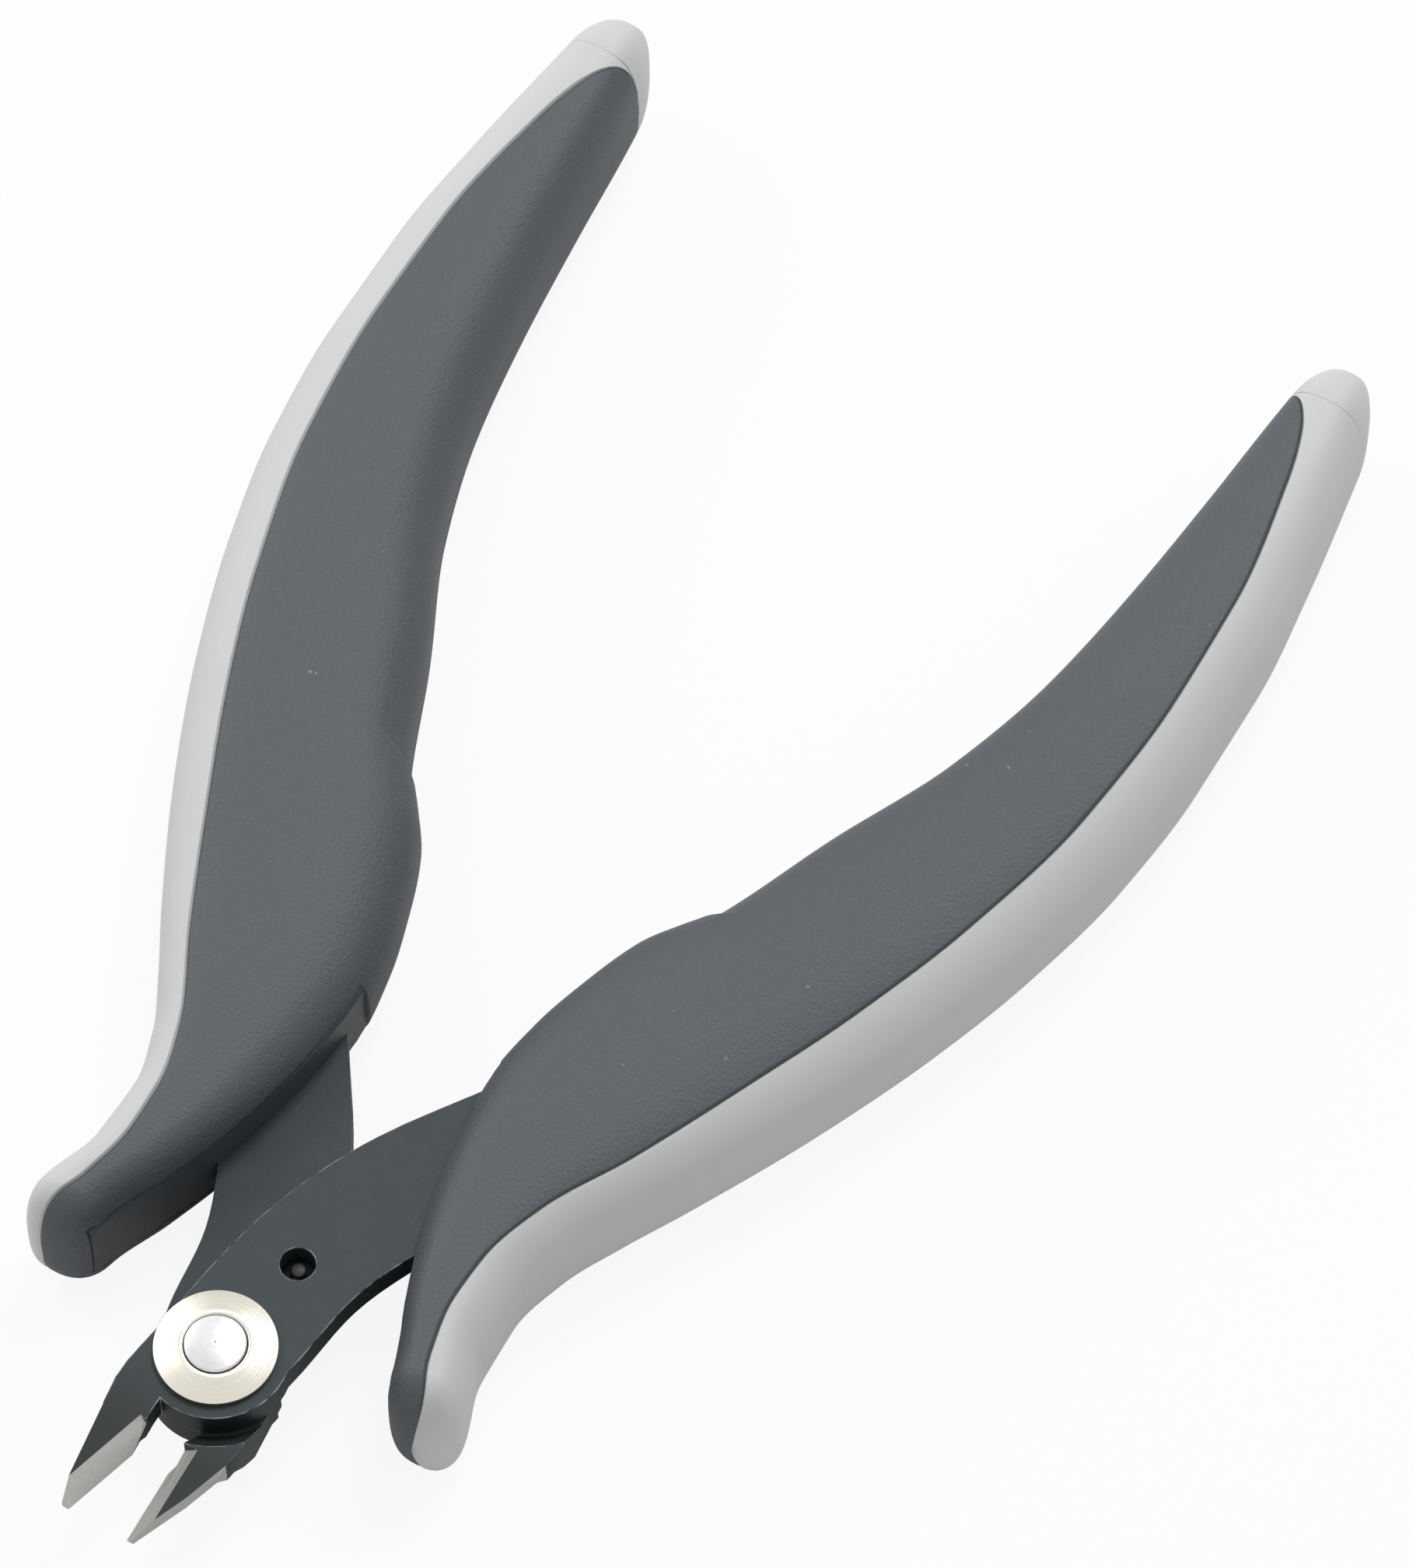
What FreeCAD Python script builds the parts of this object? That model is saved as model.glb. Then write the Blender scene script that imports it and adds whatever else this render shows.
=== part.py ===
import FreeCAD, Part
import math
import os

V = FreeCAD.Vector

# Flush cutter, lying on the backs of its grips, jaws open. Millimetres.
# Built about the pivot axis: +Y towards the grip ends, +X towards the right grip, +Z up.

# Plates and pivot
PLATE = 2.5            # thickness of each stamped arm
LAP_GAP = 0.05         # between the two plates at the joint
HUB_R = 5.65           # front arm's round hub
REAR_HUB_R = 5.5       # rear arm's hub under it
RIVET_R = 2.35
PIVOT_CLEAR = 0.05     # radial running clearance of the turning arm on the rivet
COLLAR_R = 4.68
COLLAR_LAND_R = 2.75   # outer radius of the collar's flat top land
COLLAR_H = 1.0
COLLAR_EDGE = 0.45     # height of the collar's cylindrical rim
RIVET_PROUD = 0.1      # rivet's rim above the collar's land
RIVET_DOME = 0.18
RIM_BREAK = 0.12       # bevel at the rivet's rim and at the collar's mouth
AXIAL_GAP = 0.05       # turning arm to the front collar

# Jaws
EDGE_OFFSET = 1.45     # distance from the pivot axis to the cutting line
LEFT_LEAN = 15.8       # lean of the left cutting edge from -Y, degrees
RIGHT_LEAN = 2.1       # lean of the right cutting edge from -Y, degrees
EDGE_Z = 0.95          # cutting edges and flush backs above the joint plane
BEVEL_W = 1.4          # width of the cutting bevel across the edge
BEVEL_START = -7.7     # where the bevels begin below the pivot
EDGE_START = -9.8      # where the cutting edges begin
TIP_Y = -15.9
TIP_W = 0.55
FLUSH_START = -8.6     # where the flush backs begin
RAMP_IN = 5.95         # radius where the rear arm starts to rise around the hub
RAMP_OUT = 7.9         # radius where it has risen to the jaw's level
RAMP_BACK = 1.05       # how far the back of the ramp lies outside its front
RAMP_CLEAR = 2.3       # radius inside which nothing of the jaw's ramp reaches
GRIND_RUN = 1.3        # how far each ground cut runs past the metal, as a ratio
# Jaw outlines as (x, y): outer edge down to the tip, then inner edge back up
LEFT_JAW_OUTER = [(-4.75, -0.5), (-5.25, -4.0), (-5.3, -5.6), (-5.0, -7.75), (-4.0, -14.0)]
LEFT_JAW_INNER = [(-1.38, -8.5), (-1.5, -6.6)]
RIGHT_JAW_OUTER = [(4.4, -11.5), (5.6, -7.7), (5.85, -5.9), (5.6, -3.6), (5.2, 0.4)]
RIGHT_JAW_INNER = [(2.2, -2.0), (1.85, -5.0), (1.9, -7.2), (2.12, -9.1)]
HUB_START = 10.2       # where the hub's round leaves the arm's right edge, degrees
HUB_END = -105.4       # where it meets the left jaw, degrees
HUB_JOIN_Y = -0.5      # where the rear hub's round leaves the arm's left edge

# Return spring
SPRING_HOLE_R = 1.35
SPRING_HOLE = (1.55, 9.05)
WIRE_R = 0.6
WIRE_CLEAR = 0.06
LOOP_R = 3.45          # mean radius of the loop around the rivet
SPRING_TIP = 1.55      # height of the bent wire end above the joint plane
KNEE = 0.12            # length of the wire's bend, as a part of the leg
KNEE_RISE = 0.32       # height of the wire's bend over the leg
LOOP_STEPS = 8

# Grips
GRIP_HALF = 6.75       # half thickness before the flats
GRIP_FLAT = 6.5        # flat front and back faces, from the joint plane
GRIP_BOTTOM = 1.0      # lowest point of the horn
GRIP_TOP = 117.4       # end of the grip
SQUARENESS = 2.6       # exponent of the superellipse cross-section
HORN_ROUND = 3.6       # rounding of the horn's end
TIP_ROUND = 5.2        # rounding of the grip's end
END_FLAT = 0.04        # part of each rounding left flat at the grip's two ends
CORE_HALF = 4.1        # half thickness of the hard core
CORE_IN = 2.0          # skin over the core on the inner side
CORE_OUT = 2.6         # spine over the core on the outer side
CORE_TOP = 104.0
CORE_BOTTOM = 13.0
MOUTH_HALF = 3.4       # half height of the open mouth that shows the core
MOUTH_LOW = 3.2
MOUTH_TOP = 31.0
MOUTH_DEPTH = 0.35     # the core lies this far behind the skin in the mouth

# Outlines of the right-hand side, as (y, x)
GRIP_OUTER = [(0, 19.4), (5, 18.5), (10, 17.0), (15, 16.9), (20, 18.2), (25, 20.75), (30, 23.6),
              (40, 28.7), (50, 32.9), (60, 36.15), (70, 38.3), (80, 39.15), (90, 39.1),
              (100, 38.1), (110, 36.6), (120, 34.9)]
GRIP_INNER = [(0, 13.1), (5, 12.2), (10, 10.1), (15, 8.25), (20, 6.85), (25, 6.0), (30, 5.65),
              (35, 6.3), (40, 7.65), (45, 9.55), (47.5, 11.3), (49.5, 12.8), (60, 17.65),
              (70, 22.4), (80, 25.4), (90, 27.05), (100, 28.2), (110, 29.2), (120, 30.6)]
# Line where the dark skin meets the light spine, as (x, y), horn to grip end
SPINE_LINE = [(15.2, -2.0), (16.4, 2.0), (15.0, 6.0), (14.1, 11.0), (14.3, 15.0), (15.8, 20.5),
              (19.6, 28.0), (23.9, 37.4), (28.05, 47.0), (31.65, 57.2), (34.7, 70.0),
              (35.7, 82.0), (35.5, 92.0), (33.8, 103.5), (32.6, 108.0), (31.4, 110.2),
              (29.9, 111.4), (27.5, 111.8)]
# Edges of the front arm, as (x, y), from hub to grip, then the tang inside the grip
ARM_RIGHT = [(5.9, 3.25), (6.6, 8.5), (8.4, 13.4), (12.5, 22.0), (17.5, 33.0), (23.5, 47.0),
             (28.5, 61.0), (31.2, 74.0)]
ARM_LEFT = [(27.2, 75.0), (23.0, 63.0), (17.0, 50.0), (11.5, 38.0), (6.0, 28.4), (2.0, 22.5),
            (0.0, 18.9), (-2.0, 14.1), (-3.25, 9.75), (-4.1, 4.75), (-4.75, -0.5)]

FRONT_LOW = LAP_GAP / 2
FRONT_TOP = FRONT_LOW + PLATE
REAR_TOP = -FRONT_LOW
REAR_LOW = REAR_TOP - PLATE
FAR = 60.0


def p(x, y, z=0.0):
    return V(x, y, z)


def spline(points):
    """Smooth edge through the points."""
    curve = Part.BSplineCurve()
    curve.interpolate([p(*q) for q in points])
    return curve.toShape()


def lines(points):
    """Straight edges through the points in order."""
    return [Part.makeLine(p(*a), p(*b)) for a, b in zip(points, points[1:])]


def arc(radius, start, end):
    """Arc about the pivot between two angles in degrees, start to end."""
    mid = math.radians((start + end) / 2)
    ends = [math.radians(start), mid, math.radians(end)]
    pts = [p(radius * math.cos(a), radius * math.sin(a)) for a in ends]
    return Part.Arc(*pts).toShape()


def plate(edges, low, high):
    """Closed outline raised between two heights."""
    wire = Part.Wire(Part.__sortEdges__(edges))
    face = Part.Face(wire)
    solid = face.extrude(p(0, 0, high - low))
    solid.translate(p(0, 0, low))
    return solid


def cylinder(radius, low, high, x=0.0, y=0.0):
    return Part.makeCylinder(radius, high - low, p(x, y, low))


def turned(profile):
    """Solid turned about the pivot axis from (radius, height) points."""
    wire = Part.makePolygon([p(r, 0, z) for r, z in profile + profile[:1]])
    return Part.Face(wire).revolve(p(0, 0, 0), p(0, 0, 1), 360)


def mirrored(solid):
    return solid.mirror(p(0, 0, 0), p(1, 0, 0))


def follow(points, at):
    """Smooth value through (position, value) points: cubic with limited slopes."""
    xs = [a for a, _ in points]
    ys = [b for _, b in points]
    step = [(ys[i + 1] - ys[i]) / (xs[i + 1] - xs[i]) for i in range(len(xs) - 1)]
    slope = [step[0]]
    for i in range(1, len(step)):
        same = step[i - 1] * step[i] > 0
        slope.append(2 * step[i - 1] * step[i] / (step[i - 1] + step[i]) if same else 0.0)
    slope.append(step[-1])
    i = max(k for k in range(len(step)) if k == 0 or xs[k] <= at)
    span = xs[i + 1] - xs[i]
    t = (at - xs[i]) / span
    a = ys[i] * (2 * t**3 - 3 * t**2 + 1) + ys[i + 1] * (3 * t**2 - 2 * t**3)
    return a + span * (slope[i] * (t**3 - 2 * t**2 + t) + slope[i + 1] * (t**3 - t**2))


# ---------------------------------------------------------------- jaws

def edge_x(side, y):
    """X of a cutting edge at a height; side is -1 for the left jaw, +1 for the right."""
    lean = math.radians(LEFT_LEAN if side < 0 else RIGHT_LEAN)
    return EDGE_OFFSET / math.cos(lean) - side * y * math.tan(lean)


def jaw_section_cut(side, corners, start, end):
    """Prism along a cutting edge. Corners are (distance into the blade, height)."""
    lean = math.radians(LEFT_LEAN if side < 0 else RIGHT_LEAN)
    along = p(side * math.sin(lean), -math.cos(lean))
    inward = p(side * math.cos(lean), math.sin(lean))
    foot = p(edge_x(side, start), start)
    pts = [foot + inward * u + p(0, 0, z) for u, z in corners]
    face = Part.Face(Part.makePolygon(pts + pts[:1]))
    return face.extrude(along * (start - end))


def grind(jaw, side):
    """Cuts the bevel on the front and the flush face on the back of a jaw."""
    rise = FRONT_TOP - EDGE_Z
    bevel = [(-FAR / 10, EDGE_Z), (0, EDGE_Z), (BEVEL_W * GRIND_RUN, EDGE_Z + rise * GRIND_RUN),
             (-FAR / 10, EDGE_Z + rise * GRIND_RUN)]
    jaw = jaw.cut(jaw_section_cut(side, bevel, BEVEL_START, TIP_Y * GRIND_RUN))
    ramp = EDGE_Z - FRONT_LOW
    back = Part.makePolygon([p(-FAR, FLUSH_START + ramp, -1), p(-FAR, FLUSH_START + ramp, FRONT_LOW),
                             p(-FAR, FLUSH_START, EDGE_Z), p(-FAR, TIP_Y * GRIND_RUN, EDGE_Z),
                             p(-FAR, TIP_Y * GRIND_RUN, -1), p(-FAR, FLUSH_START + ramp, -1)])
    return jaw.cut(Part.Face(back).extrude(p(2 * FAR, 0, 0)))


def left_jaw_edges():
    """Left jaw's outline from the arm's left edge to the hub, through the tip."""
    tip = edge_x(-1, TIP_Y)
    end = math.radians(HUB_END)
    points = LEFT_JAW_OUTER + [(tip - TIP_W, TIP_Y), (tip, TIP_Y),
                               (edge_x(-1, EDGE_START), EDGE_START)] + LEFT_JAW_INNER
    return lines(points + [(HUB_R * math.cos(end), HUB_R * math.sin(end))])


def right_jaw():
    """Right jaw: rises around the hub from the rear plate to the front plate's level."""
    tip = edge_x(1, TIP_Y)
    outline = RIGHT_JAW_INNER + [(edge_x(1, EDGE_START), EDGE_START), (tip, TIP_Y),
                                 (tip + TIP_W, TIP_Y)] + RIGHT_JAW_OUTER + RIGHT_JAW_INNER[:1]
    blank = plate(lines(outline), REAR_LOW, FRONT_TOP)
    profile = [(RAMP_CLEAR, REAR_LOW), (RAMP_IN + RAMP_BACK, REAR_LOW), (RAMP_OUT + RAMP_BACK, FRONT_LOW),
               (FAR, FRONT_LOW), (FAR, FRONT_TOP), (RAMP_OUT, FRONT_TOP), (RAMP_IN, REAR_TOP),
               (RAMP_CLEAR, REAR_TOP)]
    return grind(blank.common(turned(profile)), 1)


# ---------------------------------------------------------------- spring

def tangent_angle():
    """Angle at which the spring's leg leaves its loop, right-hand side, radians."""
    reach = math.hypot(*SPRING_HOLE)
    return math.atan2(SPRING_HOLE[1], SPRING_HOLE[0]) - math.acos(LOOP_R / reach)


def spring_path():
    """Points along the wire: right leg, loop under the rivet, left leg."""
    level = WIRE_R + FRONT_LOW
    out = tangent_angle()
    x, y = SPRING_HOLE
    foot = (LOOP_R * math.cos(out), LOOP_R * math.sin(out))
    right = [p(x, y, SPRING_TIP)]
    right.append(p(x, y - KNEE, level + KNEE_RISE))
    right += [p(x + (foot[0] - x) * k, y + (foot[1] - y) * k, level) for k in (KNEE, 0.4, 0.7, 1.0)]
    loop = []
    for i in range(1, LOOP_STEPS):
        t = i / LOOP_STEPS
        angle = out - t * (math.pi + 2 * out)
        loop.append(p(LOOP_R * math.cos(angle), LOOP_R * math.sin(angle), level * math.cos(math.pi * t)))
    left = [p(-q.x, q.y, -q.z) for q in reversed(right)]
    return right + loop + left


def return_spring():
    curve = Part.BSplineCurve()
    curve.interpolate(spring_path())
    path = Part.Wire(curve.toShape())
    start = curve.value(curve.FirstParameter)
    direction = curve.tangent(curve.FirstParameter)[0]
    ring = Part.Wire(Part.makeCircle(WIRE_R, start, direction))
    return path.makePipeShell([ring], True, True)


def spring_pocket(low, high, side):
    """Recess for the loop and one leg in the inner face of a plate."""
    reach = WIRE_R + WIRE_CLEAR
    pocket = cylinder(LOOP_R + reach, low, high)
    out = tangent_angle()
    x, y = SPRING_HOLE
    foot = p(LOOP_R * math.cos(out), LOOP_R * math.sin(out))
    leg = (p(x, y) - foot)
    length = leg.Length
    leg.normalize()
    across = p(leg.y, -leg.x)
    pts = [foot - across * reach, p(x, y) - across * reach, p(x, y) + across * reach,
           foot + across * reach]
    face = Part.Face(Part.makePolygon(pts + pts[:1]))
    channel = face.extrude(p(0, 0, high - low))
    channel.translate(p(0, 0, low))
    end = cylinder(reach, low, high, x, y)
    cut = pocket.fuse([channel, end])
    return cut if side > 0 else mirrored(cut)


# ---------------------------------------------------------------- arms

def arm_blank(hub_radius, low, high, jaw_edges):
    """Arm with its hub; jaw_edges close the outline below the hub."""
    start = math.radians(HUB_START)
    right = spline([(hub_radius * math.cos(start), hub_radius * math.sin(start))] + ARM_RIGHT)
    tang_end = Part.makeLine(p(*ARM_RIGHT[-1]), p(*ARM_LEFT[0]))
    left = spline(ARM_LEFT)
    return plate([right, tang_end, left] + jaw_edges(hub_radius), low, high)


def front_jaw_edges(radius):
    return left_jaw_edges() + [arc(radius, HUB_END, HUB_START)]


def plain_hub_edges(radius):
    """Round hub with no jaw, joined to the arm's left edge."""
    reach = math.degrees(math.asin(HUB_JOIN_Y / radius))
    join = p(-radius * math.cos(math.radians(reach)), HUB_JOIN_Y)
    return [Part.makeLine(p(*ARM_LEFT[-1]), join), arc(radius, -180 - reach, HUB_START)]


def front_arm():
    arm = arm_blank(HUB_R, FRONT_LOW, FRONT_TOP, front_jaw_edges)
    arm = grind(arm, -1)
    arm = arm.cut(cylinder(RIVET_R + PIVOT_CLEAR, -FAR, FAR))
    arm = arm.cut(cylinder(SPRING_HOLE_R, -FAR, FAR, *SPRING_HOLE))
    depth = FRONT_LOW + 2 * WIRE_R + WIRE_CLEAR
    return arm.cut(spring_pocket(0, depth, 1))


def rear_arm():
    arm = mirrored(arm_blank(REAR_HUB_R, REAR_LOW, REAR_TOP, plain_hub_edges))
    arm = arm.fuse(right_jaw()).removeSplitter()
    arm = arm.cut(cylinder(RIVET_R, -FAR, FAR))
    arm = arm.cut(cylinder(SPRING_HOLE_R, -FAR, FAR, -SPRING_HOLE[0], SPRING_HOLE[1]))
    depth = FRONT_LOW + 2 * WIRE_R + WIRE_CLEAR
    return arm.cut(spring_pocket(-depth, 0, -1))


# ---------------------------------------------------------------- pivot

def collar(seat):
    """Conical collar turned with a flat land and a small rim, standing on a seat height."""
    top = seat + COLLAR_H
    return turned([(RIVET_R, seat), (COLLAR_R, seat), (COLLAR_R, seat + COLLAR_EDGE),
                   (COLLAR_LAND_R, top), (RIVET_R + RIM_BREAK, top), (RIVET_R, top - RIM_BREAK)])


def rivet(low, high):
    """Pin with a bevelled rim and a slightly domed face at both ends."""
    body = turned([(0, low), (RIVET_R - RIM_BREAK, low), (RIVET_R, low + RIM_BREAK),
                   (RIVET_R, high - RIM_BREAK), (RIVET_R - RIM_BREAK, high), (0, high)])
    face_r = RIVET_R - RIM_BREAK
    ball_r = (face_r**2 + RIVET_DOME**2) / (2 * RIVET_DOME)
    for end, way in ((high, 1), (low, -1)):
        ball = Part.makeSphere(ball_r, p(0, 0, end + way * (RIVET_DOME - ball_r)))
        slab = cylinder(face_r, min(end, end + way), max(end, end + way))
        body = body.fuse(ball.common(slab))
    return body.removeSplitter()


# ---------------------------------------------------------------- grips

def grip_section(y, scale):
    """Rounded-box outline across the grip at one height."""
    inner = follow(GRIP_INNER, y)
    outer = follow(GRIP_OUTER, y)
    mid = (inner + outer) / 2
    half = (outer - inner) / 2 * scale
    high = GRIP_HALF * scale
    pts = []
    count = 20
    for i in range(count):
        a = 2 * math.pi * i / count
        c = math.cos(a)
        s = math.sin(a)
        u = math.copysign(abs(c) ** (2 / SQUARENESS), c)
        w = math.copysign(abs(s) ** (2 / SQUARENESS), s)
        pts.append(p(mid + half * u, y, high * w))
    curve = Part.BSplineCurve()
    curve.interpolate(Points=pts, PeriodicFlag=True)
    return Part.Wire(curve.toShape())


def rounding(depth, radius):
    """Width left at a depth from a rounded end."""
    return math.sqrt(max(0.0, 1 - (1 - min(1.0, depth / radius)) ** 2))


def grip_body():
    """Whole right-hand grip, with flat front and back faces."""
    heights = [GRIP_BOTTOM + HORN_ROUND * k for k in (END_FLAT, 0.2, 0.5, 1.0)]
    heights += [8, 13, 18, 24, 30, 36, 42, 45.5, 48, 51, 57, 65, 74, 84, 95, 106]
    heights += [GRIP_TOP - TIP_ROUND * k for k in (1.0, 0.5, 0.2, END_FLAT)]
    wires = []
    for y in heights:
        scale = rounding(y - GRIP_BOTTOM, HORN_ROUND) * rounding(GRIP_TOP - y, TIP_ROUND)
        wires.append(grip_section(y, scale))
    body = Part.makeLoft(wires, True, False)
    slab = Part.makeBox(2 * FAR, 4 * FAR, 2 * GRIP_FLAT, p(-FAR, -FAR, -GRIP_FLAT))
    return body.common(slab)


def strip(inner_in, outer_in, low, high, half, beyond=False):
    """Slab that follows the grip's sides at given insets between two heights."""
    count = max(4, int((high - low) / 6))
    ys = [low + (high - low) * i / count for i in range(count + 1)]
    left = [(follow(GRIP_INNER, y) + inner_in, y) for y in ys]
    if beyond:
        right = [(x + beyond, y) for x, y in left]
    else:
        right = [(follow(GRIP_OUTER, y) - outer_in, y) for y in ys]
    edges = [spline(left), spline(right), Part.makeLine(p(*left[0]), p(*right[0])),
             Part.makeLine(p(*left[-1]), p(*right[-1]))]
    return plate(edges, -half, half)


def spine_region():
    """Everything on the outer side of the line between skin and spine."""
    line = spline(SPINE_LINE)
    first = SPINE_LINE[0]
    last = SPINE_LINE[-1]
    rest = lines([last, (last[0], 2 * FAR), (FAR, 2 * FAR), (FAR, -FAR), (first[0], -FAR), first])
    return plate([line] + rest, -FAR, FAR)


def grip():
    """Right-hand grip as its core, skin and spine, before the arm is let in."""
    body = grip_body()
    inside = strip(CORE_IN, CORE_OUT, CORE_BOTTOM, CORE_TOP, CORE_HALF)
    opening = strip(-FAR, 0, MOUTH_LOW, MOUTH_TOP, MOUTH_HALF, beyond=FAR + CORE_IN + 0.4)
    panel = strip(MOUTH_DEPTH, 0, MOUTH_LOW, MOUTH_TOP, MOUTH_HALF, beyond=CORE_IN).common(body)
    region = spine_region()
    core = inside.fuse(panel).removeSplitter()
    spine = body.common(region).cut(inside).cut(panel)
    skin = body.cut(region).cut(inside).cut(opening)
    return core, skin, spine


def main():
    os.makedirs("parts", exist_ok=True)
    front = front_arm()
    rear = rear_arm()
    core, skin, spine = grip()
    parts = {
        "front_arm": front,
        "rear_arm": rear,
        "pivot_rivet": rivet(REAR_LOW - COLLAR_H - RIVET_PROUD,
                             FRONT_TOP + AXIAL_GAP + COLLAR_H + RIVET_PROUD),
        "front_collar": collar(FRONT_TOP + AXIAL_GAP),
        "back_collar": collar(-REAR_LOW).mirror(p(0, 0, 0), p(0, 0, 1)),
        "return_spring": return_spring(),
        "right_grip_core": core.cut(front),
        "right_grip_skin": skin.cut(front),
        "right_grip_spine": spine.cut(front),
        "left_grip_core": mirrored(core).cut(rear),
        "left_grip_skin": mirrored(skin).cut(rear),
        "left_grip_spine": mirrored(spine).cut(rear),
    }
    shift = p(0, -(GRIP_TOP - END_FLAT * TIP_ROUND + TIP_Y) / 2, GRIP_FLAT)
    for name, shape in parts.items():
        shape.translate(shift)
        shape.exportStep("parts/%s.step" % name)


main()
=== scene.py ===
import math

import bmesh
import bpy
import numpy as np
from bpy.props import FloatProperty, FloatVectorProperty, PointerProperty, StringProperty
from mathutils import Matrix, Vector


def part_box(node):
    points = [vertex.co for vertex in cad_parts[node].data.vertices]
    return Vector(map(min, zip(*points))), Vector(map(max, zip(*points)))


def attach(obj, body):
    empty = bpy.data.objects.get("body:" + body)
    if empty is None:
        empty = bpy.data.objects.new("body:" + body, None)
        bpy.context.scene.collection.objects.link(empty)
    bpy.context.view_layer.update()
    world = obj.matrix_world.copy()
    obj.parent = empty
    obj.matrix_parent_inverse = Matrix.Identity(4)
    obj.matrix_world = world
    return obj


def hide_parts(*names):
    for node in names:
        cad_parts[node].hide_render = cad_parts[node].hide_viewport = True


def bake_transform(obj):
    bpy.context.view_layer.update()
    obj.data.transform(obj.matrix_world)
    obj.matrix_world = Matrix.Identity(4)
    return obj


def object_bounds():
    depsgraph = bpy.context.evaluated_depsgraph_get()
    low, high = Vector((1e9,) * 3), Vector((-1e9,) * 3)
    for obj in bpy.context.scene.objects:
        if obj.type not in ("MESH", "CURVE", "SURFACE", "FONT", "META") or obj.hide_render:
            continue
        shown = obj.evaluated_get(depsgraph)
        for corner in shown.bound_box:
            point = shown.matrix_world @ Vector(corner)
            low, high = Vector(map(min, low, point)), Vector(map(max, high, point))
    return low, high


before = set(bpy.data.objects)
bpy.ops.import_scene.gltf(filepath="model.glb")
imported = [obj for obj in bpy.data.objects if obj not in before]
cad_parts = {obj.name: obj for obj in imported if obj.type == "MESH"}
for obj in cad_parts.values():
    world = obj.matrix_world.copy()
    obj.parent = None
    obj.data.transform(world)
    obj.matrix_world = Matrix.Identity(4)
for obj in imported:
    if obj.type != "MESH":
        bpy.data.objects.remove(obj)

bl_info = {
    "name": "Flush cutter",
    "version": (1, 0, 0),
    "blender": (4, 5, 0),
    "location": "View3D > Sidebar > Flush Cutter",
    "description": "Surfaces, finishes and stage of an open flush cutter",
    "category": "Object",
}

MM = 0.001
LAP_HALF = 0.025       # joint plane to either arm's inner face, millimetres
CAD_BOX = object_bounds()
FRONT = "front_half"
REAR = "rear_half"
# The joint plane between the two arms, at the pivot: every shape below is laid out from here.
PIVOT = Vector((0.0, (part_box("pivot_rivet")[0][1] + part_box("pivot_rivet")[1][1]) / 2,
                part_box("front_arm")[0][2] - LAP_HALF * MM))

# Half-outlines of the right-hand grip in millimetres from the pivot, as (height, x).
GRIP_OUTER = ((0, 19.4), (5, 18.5), (10, 17.0), (15, 16.9), (20, 18.2), (25, 20.75), (30, 23.6),
              (40, 28.7), (50, 32.9), (60, 36.15), (70, 38.3), (80, 39.15), (90, 39.1),
              (100, 38.1), (110, 36.6), (120, 34.9))
GRIP_INNER = ((0, 13.1), (5, 12.2), (10, 10.1), (15, 8.25), (20, 6.85), (25, 6.0), (30, 5.65),
              (35, 6.3), (40, 7.65), (45, 9.55), (47.5, 11.3), (49.5, 12.8), (60, 17.65),
              (70, 22.4), (80, 25.4), (90, 27.05), (100, 28.2), (110, 29.2), (120, 30.6))
# Line where the dark skin meets the light spine, as (height, x).
SPINE_LINE = ((-2.0, 15.2), (2.0, 16.4), (6.0, 15.0), (11.0, 14.1), (15.0, 14.3), (20.5, 15.8),
              (28.0, 19.6), (37.4, 23.9), (47.0, 28.05), (57.2, 31.65), (70.0, 34.7),
              (82.0, 35.7), (92.0, 35.5), (103.5, 33.8), (108.0, 32.6), (110.2, 31.4),
              (111.4, 29.9), (111.8, 27.5))

# Grips, millimetres; heights from the pivot
GRIP_LOW = 1.15        # lowest point of the horn
GRIP_HIGH = 117.19     # end of the grip
HORN_ROUND = 3.6       # rounding of the horn's end
TIP_ROUND = 5.2        # rounding of the grip's end
SKIN_HIGH = 111.65     # where the dark skin stops
SEAM_FADE = 111.2      # where the seam's dip starts to fade out
SEAM_END = 111.78      # where the spine starts to go all the way round
SEAM_LIMIT = 0.999     # nearest the seam comes to the grip's side, as a part of the half width
SHOULDER_Y = 49.1      # step above the grip's inner lobe
MOUTH_LOW = 3.2
MOUTH_TOP = 31.0
MOUTH_HALF = 3.4       # half height of the mouth
MOUTH_EDGE = 0.3       # width of the slope at the mouth's edge
MOUTH_IN = 0.75        # how far the skin is let in at the mouth
NORMALS_LOW = 1.6      # the exact normals are used between these two heights
NORMALS_HIGH = 116.8

# Jaws, millimetres from the pivot: which faces are ground
BEVEL_TOP = -7.0
BEVEL_REACH = 8.5
SIDE_TOP = -9.0
FLUSH_TOP = -8.5
FLUSH_Z = 0.5

# Collar and rivet, millimetres
COLLAR_R = 4.68
COLLAR_BORE = 2.41
COLLAR_RIM = 0.45      # height of the collar's upright rim
LAND_OUTER = 2.78
LAND_INNER = 2.52
RIM_BREAK = 0.12       # bevel at the collar's mouth and at the rivet's rim
RIVET_R = 2.35
RIVET_DOME = 0.18

# Return spring, millimetres
WIRE_R = 0.6
WIRE_TOP = 1.52        # end of the wire in the hole
BEND_R = 0.62
LOOP_R = 3.45
SPRING_HOLE = (1.55, 9.05)


def linear(code):
    """sRGB hex colour to linear RGBA."""
    values = [int(code[i:i + 2], 16) / 255 for i in (1, 3, 5)]
    curve = [v / 12.92 if v <= 0.04045 else ((v + 0.055) / 1.055) ** 2.4 for v in values]
    return (*curve, 1.0)


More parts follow.
